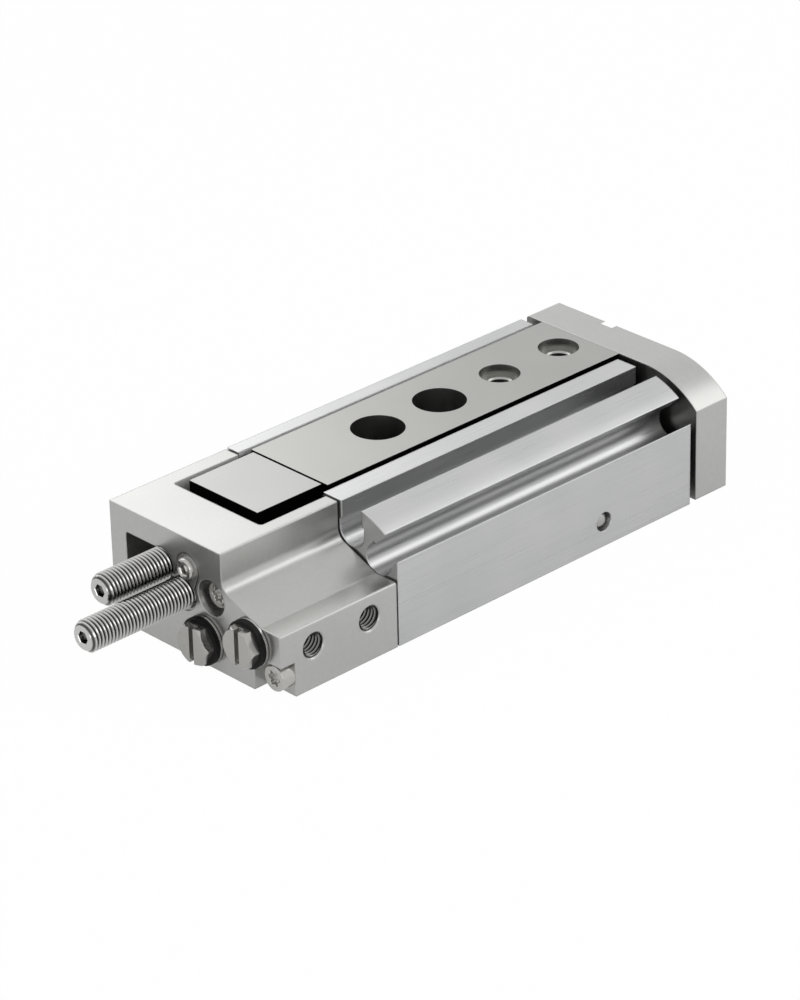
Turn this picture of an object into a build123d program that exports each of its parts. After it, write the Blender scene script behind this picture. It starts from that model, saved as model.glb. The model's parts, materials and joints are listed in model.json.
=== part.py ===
from build123d import *
import os
from math import sqrt

# Pneumatic slide table, retracted.
# Origin: on the base face, at the axis of the rear base bore.
# +X is the stroke, towards the yoke. +Y is the flat side. +Z is up.

# Overall section across the stroke
flat_wall = 0.61
near_side = -19.1
strip_top = 15.3
cap_top = 15.15
table_top = 15.47
shoulder_start = -10.6
shoulder_r = 12.0

# Stations along the stroke
stroke = 20.0
cap_rear = -33.2
cap_length = 17.65
gasket_thick = 0.25
gasket_inset = 0.15
housing_front = 32.8
yoke_gap = 1.0
yoke_thick = 5.5
yoke_low = 0.2

# Table and carrier
bore_pitch = 10.0
table_rear = -14.0
table_half = 6.47
table_low = 11.0
access_r = 3.25
locating_r = 2.5
locating_depth = 1.3
m3_thread_r = 1.5
m3_drill_r = 1.25
thread_edge = 0.2
table_edge = 0.05
yoke_locating_depth = 1.0
yoke_bore_edge = 0.15
yoke_corner_r = 0.4
carrier_screw_hole = 3.0
carrier_rear = -24.1
carrier_gap = 0.3
carrier_half = 5.78
carrier_low = 6.1
tongue_front = -6.5

# Ball guide
guide_gap = 0.72
ball_r = 0.75
ball_z = 13.2
ball_pitch = 4.2
balls_per_row = 6
cage_rear = -3.8
cage_length = 26.4
cage_thick = 0.3
cage_height = 2.4
rail_thick = 1.3
rail_height = 3.0

# Channel in the housing and pocket in the cap
channel_half = 6.0
channel_floor = 5.8
channel_step = 10.8
pocket_rear = -25.5
pocket_flat = 6.95
pocket_near = -7.85
pocket_r = 0.5

# Near side of the cap
cap_side_y = -9.7
slope_top_z = 10.75
ledge_y = -15.8
ledge_z = 8.25
slope_top_r = 1.5
slope_foot_r = 1.2
ledge_r = 0.3
notch_y = -14.6
notch_top = 4.3
notch_depth = 2.1

# Sensor slots
slot_r = 1.95
slot_mouth = 3.3
slot_lip = 1.0
upper_slot = (-11.78, 12.0)
lower_slot = (-16.0, 9.95)
lower_slot_tilt = 45.0

# Cylinder
cylinder_y = -13.9
cylinder_z = 4.7
bore_r = 3.0
rod_r = 2.0
gland_r = 3.4
gland_rear = 19.6
piston_back = 0.8
rear_seal_back = 0.7
front_seal_back = 1.2
piston_half_long = 2.6
piston_front_long = 3.9
magnet_long = 1.5
tail_r = 1.25
seal_long = 1.2
seal_depth = 0.8
bearing_long = 7.9
rod_seal_long = 2.2
lip_thick = 0.43
lip_groove = 1.2
wiper_long = 1.6
gland_ring_long = 1.5
oring_back = 1.4
oring_long = 1.0
oring_depth = 0.65
oring_edge = 0.2

# Air drillings
side_port_x = (-28.2, -19.7)
side_port_z = 5.3
port_thread_long = 3.2
drill_r = 1.0
air_y = -9.5
air_z = 3.25
air_r = 0.6
cross_x = 18.0
cross_ball_r = 1.2
cross_seat = 2.4
link_ball_r = 0.8
link_seat = 1.4

# Port plugs in the rear face: y, z, depth
plug_upper = (-14.3, 5.9)
plug_lower = (-6.6, 3.3)
plug_deep = (5.6, 14.2)
plug_thread_r = 1.48
plug_thread_long = 4.6
plug_hex = 4.5
plug_stick_out = 2.2
plug_slot_wide = 0.72
plug_slot_deep = 0.85
plug_corner_cut = 0.25
plug_cone_long = 1.05
seal_r = 2.9
seal_out = 0.95
washer_r = 2.96
washer_from = 0.35
washer_to = 0.08
washer_hole_r = 2.1

# Cap screws: y, z and head front behind the rear face
cap_screws = {"upper": (-7.86, 8.95, 1.0), "lower": (-17.5, 2.4, 0.3)}
cap_screw_head_r = 1.6
cap_screw_head_long = 1.8
cap_screw_r = 1.0
cap_screw_into = 5.6
recess_r = 2.19
socket_r = 0.75
socket_deep = 0.9

# Stop screws
stop_r = 1.95
stop_socket = 1.4
stop_socket_deep = 1.6
stop_chamfer = 0.45
stop_relief = 0.3
return_stop = (-2.95, 7.87)
return_tip_x = -47.8
advance_stop = (0.5, 10.25)
advance_tip_x = -42.3
advance_front_x = -4.1
buffer_r = 1.1
buffer_long = 1.0
buffer_proud = 0.25
window_flat = 6.5
window_low = 8.2
window_top = 12.1
window_r = 0.4
stop_block_front = 26.0
stop_block_half = 5.5
stop_block_top = 10.75
stop_block_edge = 0.4

# Clamp beside the return stop
clamp_centre = (-4.0, 11.3)
clamp_r = 1.75
clamp_long = 3.4
clamp_edge = ((-2.75, 12.5), (-1.62, 9.5), (-4.9, 8.7), (-5.65, 10.7))
clamp_screw_r = 1.0
clamp_screw_long = 6.4
clamp_head_r = 1.35
clamp_head_high = 0.75
clamp_socket = 1.1
clamp_socket_deep = 0.8

# Small screws
m2_r = 1.0
m2_head_r = 1.75
m2_head_long = 1.2
m2_socket_r = 0.7
m2_socket_deep = 0.6
carrier_screw_y = 3.7
carrier_screw_x = -10.4
carrier_screw_into = 2.6
carrier_screw_sunk = 0.2
yoke_screw_y = 4.6
yoke_screw_head_r = 1.9
yoke_screw_head_long = 1.8
yoke_screw_into = 4.6
yoke_screw_sunk = 0.2
yoke_screw_socket = 1.5
yoke_screw_socket_deep = 1.0
front_bore_z = 13.15
rod_screw_r = 1.25
rod_screw_head_r = 2.25
rod_screw_head_long = 2.0
rod_screw_into = 6.0
rod_screw_sunk = 0.3
rod_screw_socket = 2.0
rod_screw_socket_deep = 1.2
block_screw_x = 21.0
block_screw_r = 1.5
block_screw_head_r = 2.7
block_screw_head_long = 1.8
block_screw_sunk = 0.4
block_screw_roof = 0.8
block_screw_socket = 2.5
block_screw_socket_deep = 0.9
base_screw_r = 1.7
base_screw_head_r = 3.1
base_web = 1.6

# Clearances
free = 0.05
thread_play = 0.02
screw_play = 0.1
head_play = 0.1
slide_play = 0.05
window_play = 0.08
clamp_play = 0.12
relief_play = 0.15
track_play = 0.03
bearing_play = 0.03
ring_play = 0.25
magnet_play = 0.2
run_out = 0.4
edge = 0.15
past = 1.0

# Worked out
housing_rear = cap_rear + cap_length + gasket_thick
cap_front = cap_rear + cap_length
yoke_rear = housing_front + yoke_gap
yoke_front = yoke_rear + yoke_thick
shoulder_z = table_top - shoulder_r
rail_y = table_half + guide_gap
flat_side = rail_y + rail_thick + flat_wall
ball_y = table_half + guide_gap / 2
groove_r = ball_r + track_play
piston_rear_x = housing_rear + piston_back
carrier_front = table_rear - carrier_gap
oring_x = gland_rear + oring_back
carrier_screw_seat = carrier_low + carrier_screw_sunk + m2_head_long
stop_block_rear = advance_front_x + stroke + free
plug_places = (plug_upper, plug_lower)
bore_places = (0.0, bore_pitch)
thread_places = (2 * bore_pitch, 3 * bore_pitch)


def block(x0, x1, y0, y1, z0, z1):
    """A box between two corners."""
    return Pos((x0 + x1) / 2, (y0 + y1) / 2, (z0 + z1) / 2) * Box(x1 - x0, y1 - y0, z1 - z0)


def along_x(x0, x1, y, z, radius):
    """A round bar along the stroke."""
    return Pos((x0 + x1) / 2, y, z) * Rot(0, 90, 0) * Cylinder(radius, x1 - x0)


def along_y(x, y0, y1, z, radius):
    """A round bar across the stroke."""
    return Pos(x, (y0 + y1) / 2, z) * Rot(90, 0, 0) * Cylinder(radius, y1 - y0)


def along_z(x, y, z0, z1, radius):
    """An upright round bar."""
    return Pos(x, y, (z0 + z1) / 2) * Cylinder(radius, z1 - z0)


def tube(x0, x1, y, z, outer, inner):
    """A round sleeve along the stroke."""
    return along_x(x0, x1, y, z, outer) - along_x(x0, x1, y, z, inner)


def prism(face, x0, x1):
    """A section across the stroke, pulled from x0 to x1."""
    return Pos(x0, 0, 0) * extrude(Plane.YZ * face, amount=x1 - x0)


def hex_bar(x0, x1, y, z, across):
    """A hexagon bar along the stroke, two corners level with its axis."""
    return prism(Pos(y, z) * RegularPolygon(across / 2, 6, major_radius=False), x0, x1)


def mouth(place, radius, deep):
    """Chamfer at the mouth of a bore. The place's Z axis points out of the bore."""
    return place * Pos(0, 0, -deep / 2) * Cone(radius, radius + deep, deep)


def round_corners(face, corners):
    """Rounds the corners of a section that lie nearest to the given points."""
    for point, radius in corners:
        face = fillet(face.vertices().sort_by_distance(Vector(*point))[0], radius)
    return face


def flared_section(low):
    """Section of housing and yoke: flat far side, round shoulder on the near side."""
    reach = shoulder_start - near_side
    shoulder_end_z = shoulder_z + sqrt(shoulder_r**2 - reach**2)
    start = (shoulder_start, table_top)
    end = (near_side, shoulder_end_z)
    shoulder = RadiusArc(start, end, -shoulder_r)
    rest = Polyline(end, (near_side, low), (flat_side, low), (flat_side, table_top), start)
    return make_face(shoulder + rest)


def slot_section(centre, tilt):
    """Lipped slot with a round bottom, open along its tilted mouth."""
    reach = 12.0
    cavity = Circle(slot_r) + Pos(0, slot_lip / 2) * Rectangle(2 * slot_r, slot_lip)
    mouth = Pos(0, (slot_lip + reach) / 2) * Rectangle(slot_mouth, reach - slot_lip)
    return Pos(*centre) * Rot(0, 0, tilt) * (cavity + mouth)


def screw_along_x(head_x, way, y, z, head, shank):
    """Cap head screw: way is +1 when the shank points along +X. head and shank are (radius, length)."""
    seat = head_x + way * head[1]
    tip = seat + way * shank[1]
    top = along_x(min(head_x, seat), max(head_x, seat), y, z, head[0])
    return top + along_x(min(seat, tip), max(seat, tip), y, z, shank[0])


def housing():
    """Extruded body: channel for the table, two sensor slots, cylinder bore in the flare."""
    body = prism(flared_section(0), housing_rear, housing_front)
    length = (housing_rear - past, housing_front + past)
    body -= block(*length, near_side, flat_side, strip_top, table_top + past)
    body -= prism(slot_section(upper_slot, 0), *length)
    body -= prism(slot_section(lower_slot, lower_slot_tilt), *length)
    body -= block(*length, -channel_half, channel_half, channel_floor, table_top)
    body -= block(*length, -rail_y, rail_y, channel_step, table_top)
    rail_half = rail_y + rail_thick
    rail_low = ball_z - rail_height / 2
    body -= block(*length, -rail_half, rail_half, rail_low, rail_low + rail_height)
    body -= along_x(*length, cylinder_y, cylinder_z, bore_r)
    body -= along_x(gland_rear, length[1], cylinder_y, cylinder_z, gland_r)
    body -= along_x(length[0], cross_x, air_y, air_z, air_r)
    body -= along_y(cross_x, near_side - past, air_y, air_z, air_r)
    body -= along_y(cross_x, near_side - past, near_side + cross_seat, air_z, cross_ball_r + thread_play)
    for y, z, _ in cap_screws.values():
        body -= along_x(length[0], housing_rear + cap_screw_into, y, z, cap_screw_r + thread_play)
    for x in bore_places:
        body -= along_z(x, 0, -past, locating_depth, locating_r)
        body -= along_z(x, 0, -past, channel_floor + past, base_screw_r)
        body -= along_z(x, 0, locating_depth + base_web, channel_floor + past, base_screw_head_r)
    seat = block_screw_sunk + block_screw_head_long
    body -= along_z(block_screw_x, 0, -past, channel_floor + past, block_screw_r + screw_play)
    body -= along_z(block_screw_x, 0, -past, seat, block_screw_head_r + head_play)
    return body


def cap_section():
    """Outline of the end cap, seen along the stroke."""
    corners = [
        (flat_side, 0),
        (flat_side, cap_top),
        (cap_side_y, cap_top),
        (cap_side_y, slope_top_z),
        (ledge_y, ledge_z),
        (near_side, ledge_z),
        (near_side, 0),
    ]
    face = make_face(Polyline(*corners, close=True))
    radii = (edge, slope_top_r, slope_foot_r, ledge_r)
    return round_corners(face, list(zip(corners[2:6], radii)))


def clamp_section(extra):
    """Teardrop beside the return stop: a round end and two flanks that run to the stop screw."""
    drop = Pos(*clamp_centre) * Circle(clamp_r + extra)
    flank = make_face(Polyline(*clamp_edge, close=True))
    if extra:
        flank = offset(flank, extra)
    return drop + flank


def window_section():
    """Window in the cap's rear wall, round at the advance stop's side."""
    y, z = advance_stop
    middle = ((y + window_flat) / 2, (window_low + window_top) / 2)
    straight = Pos(*middle) * Rectangle(window_flat - y, window_top - window_low)
    corners = [((window_flat, window_low), window_r), ((window_flat, window_top), window_r)]
    return round_corners(straight.face(), corners) + Pos(y, z) * Circle(stop_r + window_play)


def end_cap():
    """Rear end cap: stop screw wall, open pocket, ports and air drillings."""
    body = prism(cap_section(), cap_rear, cap_front)
    ahead = cap_front + past
    behind = cap_rear - past
    side = near_side - past
    body -= block(behind, cap_rear + notch_depth, side, notch_y, -past, notch_top)
    upper = block(pocket_rear, ahead, pocket_near, pocket_flat, channel_step, cap_top + past)
    lower = block(pocket_rear, ahead, -channel_half, channel_half, channel_floor, channel_step)
    upper = fillet(upper.edges().filter_by(Axis.Z).group_by(Axis.X)[0], pocket_r)
    body -= upper + lower
    body -= prism(window_section(), behind, pocket_rear + past)
    body -= along_x(behind, pocket_rear + past, *return_stop, stop_r + slide_play)
    body -= along_x(behind, cap_rear + stop_relief, *return_stop, stop_r + stop_relief)
    body -= prism(clamp_section(clamp_play), behind, cap_rear + clamp_long)
    body -= along_x(behind, cap_rear + clamp_screw_long, *clamp_centre, clamp_screw_r + thread_play)
    for y, z, _ in cap_screws.values():
        body -= along_x(behind, ahead, y, z, cap_screw_r + screw_play)
    y, z, front = cap_screws["upper"]
    body -= along_x(behind, cap_rear + front + cap_screw_head_long, y, z, recess_r)
    for (y, z), deep in zip(plug_places, plug_deep):
        body -= along_x(behind, cap_rear + plug_thread_long + run_out, y, z, plug_thread_r + thread_play)
        body -= along_x(behind, cap_rear + deep, y, z, m3_drill_r)
    for x, inner_y in zip(side_port_x, (air_y, plug_lower[0])):
        body -= along_y(x, side, near_side + port_thread_long, side_port_z, m3_thread_r)
        body -= along_y(x, side, inner_y, side_port_z, drill_r)
        body -= mouth(Pos(x, near_side, side_port_z) * Rot(90, 0, 0), m3_thread_r, thread_edge)
    body -= along_x(side_port_x[1], ahead, cylinder_y, cylinder_z, drill_r)
    body -= along_x(side_port_x[0], ahead, air_y, air_z, air_r)
    body -= along_z(side_port_x[0], air_y, -past, side_port_z, air_r)
    body -= along_z(side_port_x[0], air_y, -past, link_seat, link_ball_r + thread_play)
    return body


def end_cap_gasket():
    """Gasket between cap and housing, a little inside their outlines."""
    face = offset(cap_section(), -gasket_inset, kind=Kind.INTERSECTION)
    body = prism(face, cap_front, housing_rear)
    through = (cap_front - past, housing_rear + past)
    body -= block(*through, -rail_y, rail_y, channel_step, table_top)
    body -= block(*through, -channel_half, channel_half, channel_floor, table_top)
    body -= along_x(*through, cylinder_y, cylinder_z, bore_r)
    body -= along_x(*through, air_y, air_z, air_r)
    for y, z, _ in cap_screws.values():
        body -= along_x(*through, y, z, cap_screw_r + screw_play)
    return body


def cap_screw(place):
    """Cap screw with a round head and a driving socket."""
    y, z, front = cap_screws[place]
    head_x = cap_rear + front
    shank = housing_rear + cap_screw_into - free - (head_x + cap_screw_head_long)
    body = screw_along_x(head_x, 1, y, z, (cap_screw_head_r, cap_screw_head_long), (cap_screw_r, shank))
    return body - along_x(head_x - past, head_x + socket_deep, y, z, socket_r)


def port_plug(place):
    """Threaded plug with a hexagon head, chamfered corners and a screwdriver slot."""
    y, z = place
    face_x = cap_rear - plug_stick_out
    back_x = cap_rear - seal_out
    head = hex_bar(face_x, back_x, y, z, plug_hex)
    cone_r = plug_hex / sqrt(3) - plug_corner_cut
    wide_r = cone_r + plug_cone_long
    cone = Pos(face_x + plug_cone_long / 2, y, z) * Rot(0, 90, 0) * Cone(cone_r, wide_r, plug_cone_long)
    tail = along_x(face_x + plug_cone_long, back_x, y, z, wide_r)
    head = head & (cone + tail)
    body = head + along_x(back_x, cap_rear + plug_thread_long, y, z, plug_thread_r)
    slot_half = plug_slot_wide / 2
    slot_x = (face_x - past, face_x + plug_slot_deep)
    return body - block(*slot_x, y - slot_half, y + slot_half, z - plug_hex, z + plug_hex)


def plug_washer(place):
    """Metal ring held in the plug's seal."""
    return tube(cap_rear - washer_from, cap_rear - washer_to, *place, washer_r, washer_hole_r)


def plug_seal(place):
    """Elastomer seal under the plug's head, with a groove for the metal ring."""
    body = tube(cap_rear - seal_out, cap_rear, *place, seal_r, plug_thread_r + free)
    groove = tube(cap_rear - washer_from, cap_rear - washer_to, *place, seal_r + past, washer_hole_r)
    return body - groove


def channel_balls():
    """Balls that close the two cross drillings, each seated on the edge of its drilling."""
    cross_depth = cross_seat - sqrt(cross_ball_r**2 - air_r**2)
    link_depth = link_seat - sqrt(link_ball_r**2 - air_r**2)
    cross_ball = Pos(cross_x, near_side + cross_depth, air_z) * Sphere(cross_ball_r)
    link_ball = Pos(side_port_x[0], air_y, link_depth) * Sphere(link_ball_r)
    return Compound([cross_ball.solid(), link_ball.solid()])


def ball_track(side):
    """Round groove that both ball tracks share."""
    return along_x(housing_rear - past, yoke_rear + past, side * ball_y, ball_z, groove_r)


def guide_rail(side):
    """Hardened strip let into the channel wall."""
    y0, y1 = sorted((side * rail_y, side * (rail_y + rail_thick)))
    low = ball_z - rail_height / 2
    return block(housing_rear, housing_front, y0, y1, low, low + rail_height) - ball_track(side)


def ball_places():
    """Stations of the balls in one row, centred in the cage."""
    middle = cage_rear + cage_length / 2
    first = middle - ball_pitch * (balls_per_row - 1) / 2
    return [first + ball_pitch * i for i in range(balls_per_row)]


def ball_cage(side):
    """Thin strip that spaces one row of balls."""
    y = side * ball_y
    body = block(cage_rear, cage_rear + cage_length, y - cage_thick / 2, y + cage_thick / 2,
                 ball_z - cage_height / 2, ball_z + cage_height / 2)
    for x in ball_places():
        body -= along_y(x, y - past, y + past, ball_z, ball_r + free)
    return body


def guide_balls(side):
    """One row of balls."""
    return Compound([(Pos(x, side * ball_y, ball_z) * Sphere(ball_r)).solid() for x in ball_places()])


def table():
    """Steel table: access bores, locating bores with threads, ball tracks, relief for the stop screw."""
    body = block(table_rear, yoke_rear, -table_half, table_half, table_low, table_top)
    body = chamfer(body.edges().group_by(Axis.Z)[-1], table_edge)
    for side in (-1, 1):
        body -= ball_track(side)
        body -= along_x(yoke_rear - yoke_screw_into - run_out, yoke_rear + past, side * yoke_screw_y,
                        ball_z, m2_r + thread_play)
        body -= along_z(carrier_screw_x, side * carrier_screw_y, table_low - past,
                        table_low + carrier_screw_hole, m2_r + thread_play)
    for x in bore_places:
        body -= along_z(x, 0, table_low - past, table_top + past, access_r)
    for x in thread_places:
        body -= along_z(x, 0, table_low - past, table_top + past, m3_thread_r)
        body -= along_z(x, 0, table_top - locating_depth, table_top + past, locating_r)
        body -= mouth(Pos(x, 0, table_top - locating_depth), m3_thread_r, thread_edge)
    body -= along_x(table_rear - past, advance_front_x + stop_relief, *advance_stop, stop_r + relief_play)
    return body


def stop_carrier():
    """Block behind the table that holds the advance stop and meets the return stop."""
    body = block(carrier_rear, carrier_front, -carrier_half, carrier_half, carrier_low, table_top)
    body = chamfer(body.edges().group_by(Axis.Z)[-1], table_edge)
    body += block(carrier_front, tongue_front, -carrier_half, carrier_half, carrier_low, table_low)
    body -= along_x(carrier_rear - past, tongue_front + past, *advance_stop, stop_r + slide_play)
    for side in (-1, 1):
        y = side * carrier_screw_y
        body -= along_z(carrier_screw_x, y, carrier_low - past, table_low + past, m2_r + screw_play)
        body -= along_z(carrier_screw_x, y, carrier_low - past, carrier_screw_seat, m2_head_r + head_play)
    return body


def carrier_screws():
    """Two screws from below through the carrier's tongue into the table."""
    head_z = carrier_screw_seat - m2_head_long
    screws = []
    for side in (-1, 1):
        y = side * carrier_screw_y
        screw = along_z(carrier_screw_x, y, head_z, carrier_screw_seat, m2_head_r)
        screw += along_z(carrier_screw_x, y, carrier_screw_seat, table_low + carrier_screw_into, m2_r)
        screw -= along_z(carrier_screw_x, y, head_z - past, head_z + m2_socket_deep, m2_socket_r)
        screws.append(screw.solid())
    return Compound(screws)


def yoke_plate():
    """Front plate: joins the table to the piston rod, with locating bores for a load."""
    face = round_corners(flared_section(yoke_low), [((flat_side, table_top), yoke_corner_r)])
    body = prism(face, yoke_rear, yoke_front)
    body = chamfer(body.edges().group_by(Axis.X)[-1], edge)
    for z in (front_bore_z, front_bore_z - bore_pitch):
        body -= along_x(yoke_front - yoke_locating_depth, yoke_front + past, 0, z, locating_r)
        body -= mouth(Pos(yoke_front, 0, z) * Rot(0, 90, 0), locating_r, yoke_bore_edge)
        body -= along_x(yoke_rear - past, yoke_front + past, 0, z, m3_thread_r)
    for side in (-1, 1):
        y = side * yoke_screw_y
        body -= along_x(yoke_rear - past, yoke_front + past, y, ball_z, m2_r + screw_play)
        body -= along_x(yoke_front - yoke_screw_sunk - yoke_screw_head_long, yoke_front + past, y, ball_z,
                        yoke_screw_head_r + free)
    body -= along_x(yoke_rear - past, yoke_front + past, cylinder_y, cylinder_z, rod_screw_r + screw_play)
    body -= along_x(yoke_front - rod_screw_sunk - rod_screw_head_long, yoke_front + past, cylinder_y,
                    cylinder_z, rod_screw_head_r + head_play)
    return body


def yoke_screws():
    """Two screws through the yoke into the table's front face."""
    head_x = yoke_front - yoke_screw_sunk
    shank = yoke_thick - yoke_screw_sunk - yoke_screw_head_long + yoke_screw_into
    screws = []
    for side in (-1, 1):
        y = side * yoke_screw_y
        head = (yoke_screw_head_r, yoke_screw_head_long)
        screw = screw_along_x(head_x, -1, y, ball_z, head, (m2_r, shank))
        screw -= hex_bar(head_x - yoke_screw_socket_deep, head_x + past, y, ball_z, yoke_screw_socket)
        screws.append(screw.solid())
    return Compound(screws)


def piston_rod():
    """Rod with a thinner tail for the piston and a thread in its front end."""
    front = piston_stations()[-1]
    body = along_x(front, yoke_rear, cylinder_y, cylinder_z, rod_r)
    body += along_x(piston_rear_x, front, cylinder_y, cylinder_z, tail_r)
    return body - along_x(yoke_rear - rod_screw_into - run_out, yoke_rear + past, cylinder_y, cylinder_z,
                          rod_screw_r + thread_play)


def rod_screw():
    """Screw through the yoke into the rod."""
    head_x = yoke_front - rod_screw_sunk
    shank = yoke_thick - rod_screw_sunk - rod_screw_head_long + rod_screw_into
    body = screw_along_x(head_x, -1, cylinder_y, cylinder_z, (rod_screw_head_r, rod_screw_head_long),
                         (rod_screw_r, shank))
    socket_x = (head_x - rod_screw_socket_deep, head_x + past)
    return body - hex_bar(*socket_x, cylinder_y, cylinder_z, rod_screw_socket)


def piston_part(x0, x1, seal_x):
    """Half of the piston, with a groove for its seal."""
    body = tube(x0, x1, cylinder_y, cylinder_z, bore_r - slide_play, tail_r + thread_play)
    return body - tube(seal_x, seal_x + seal_long, cylinder_y, cylinder_z, bore_r, bore_r - seal_depth)


def piston_stations():
    """Stations of the piston: rear face, magnet rear, magnet front, front face."""
    rear = piston_rear_x
    magnet_rear = rear + piston_half_long
    magnet_front = magnet_rear + magnet_long
    return rear, magnet_rear, magnet_front, magnet_front + piston_front_long


def piston_seal_places():
    """Rear faces of the two seal grooves."""
    rear, _, magnet_front, _ = piston_stations()
    return rear + rear_seal_back, magnet_front + front_seal_back


def piston_seals():
    """Two piston seals in their grooves."""
    seals = []
    for x in piston_seal_places():
        seal = tube(x, x + seal_long, cylinder_y, cylinder_z, bore_r - thread_play, bore_r - seal_depth)
        seals.append(seal.solid())
    return Compound(seals)


def piston_magnet():
    """Magnet ring that the sensors in the slots detect."""
    _, magnet_rear, magnet_front, _ = piston_stations()
    outer = bore_r - magnet_play
    return tube(magnet_rear, magnet_front, cylinder_y, cylinder_z, outer, tail_r + thread_play)


def gland_stations():
    """Stations in the gland: bearing, seal, wiper, ring."""
    seal_x = gland_rear + bearing_long
    wiper_x = seal_x + rod_seal_long
    ring_x = wiper_x + wiper_long
    return seal_x, wiper_x, ring_x, ring_x + gland_ring_long


def rod_bearing():
    """Bearing bush for the rod, with a groove for its O-ring."""
    front = gland_rear + bearing_long
    body = tube(gland_rear, front, cylinder_y, cylinder_z, gland_r - thread_play, rod_r + bearing_play)
    groove = (oring_x, oring_x + oring_long)
    return body - tube(*groove, cylinder_y, cylinder_z, gland_r, gland_r - oring_depth)


def bearing_oring():
    """O-ring between bearing and housing."""
    groove = (oring_x, oring_x + oring_long)
    ring = tube(*groove, cylinder_y, cylinder_z, gland_r - thread_play, gland_r - oring_depth)
    return chamfer(ring.edges(), oring_edge)


def rod_seal():
    """Lip seal on the rod."""
    seal_x, wiper_x, _, _ = gland_stations()
    outer = gland_r - thread_play
    inner = rod_r + thread_play
    body = tube(seal_x, wiper_x, cylinder_y, cylinder_z, outer, inner)
    groove = (seal_x, seal_x + lip_groove)
    return body - tube(*groove, cylinder_y, cylinder_z, outer - lip_thick, inner + lip_thick)


def rod_wiper():
    """Wiper that keeps dirt off the rod."""
    _, wiper_x, ring_x, _ = gland_stations()
    return tube(wiper_x, ring_x, cylinder_y, cylinder_z, gland_r - thread_play, rod_r + thread_play)


def gland_ring():
    """Ring that holds the gland in the housing."""
    _, _, ring_x, end_x = gland_stations()
    return tube(ring_x, end_x, cylinder_y, cylinder_z, gland_r - thread_play, rod_r + ring_play)


def stop_screw(tip_x, front_x, place):
    """Stop screw: chamfered at both ends, hexagon socket at the rear, bore for the buffer in front."""
    body = along_x(tip_x, front_x, *place, stop_r)
    body = chamfer(body.edges().filter_by(GeomType.CIRCLE), stop_chamfer)
    body -= hex_bar(tip_x - past, tip_x + stop_socket_deep, *place, stop_socket)
    return body - along_x(front_x - buffer_long, front_x + past, *place, buffer_r + free)


def stop_buffer(front_x, place):
    """Elastomer pad in the tip of a stop screw, a little proud of it."""
    return along_x(front_x - buffer_long, front_x + buffer_proud, *place, buffer_r)


def clamp_wedge():
    """Clamp piece that locks the return stop."""
    body = prism(clamp_section(0), cap_rear, cap_rear + clamp_long)
    through = (cap_rear - past, cap_rear + clamp_long + past)
    body -= along_x(*through, *return_stop, stop_r + slide_play)
    return body - along_x(*through, *clamp_centre, clamp_screw_r + screw_play)


def clamp_screw():
    """Domed screw that draws the clamp piece in."""
    y, z = clamp_centre
    shank = along_x(cap_rear, cap_rear + clamp_screw_long - free, y, z, clamp_screw_r)
    dome_r = (clamp_head_r**2 + clamp_head_high**2) / (2 * clamp_head_high)
    top_x = cap_rear - clamp_head_high
    dome = Pos(top_x + dome_r, y, z) * Sphere(dome_r)
    head = dome & along_x(top_x, cap_rear, y, z, clamp_head_r)
    return head + shank - hex_bar(top_x - past, top_x + clamp_socket_deep, y, z, clamp_socket)


def stop_block():
    """Block in the channel that the advance stop meets at the end of the stroke."""
    body = block(stop_block_rear, stop_block_front, -stop_block_half, stop_block_half, channel_floor,
                 stop_block_top)
    body = chamfer(body.edges().filter_by(Axis.Z), stop_block_edge)
    roof_z = stop_block_top - block_screw_roof
    return body - along_z(block_screw_x, 0, channel_floor - past, roof_z, block_screw_r + thread_play)


def stop_block_screw():
    """Screw from the base into the stop block."""
    seat = block_screw_sunk + block_screw_head_long
    tip_z = stop_block_top - block_screw_roof - run_out
    body = along_z(block_screw_x, 0, block_screw_sunk, seat, block_screw_head_r)
    body += along_z(block_screw_x, 0, seat, tip_z, block_screw_r)
    hexagon = RegularPolygon(block_screw_socket / 2, 6, major_radius=False)
    deep = block_screw_sunk + block_screw_socket_deep
    return body - Pos(block_screw_x, 0, 0) * extrude(hexagon, amount=deep)


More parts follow.
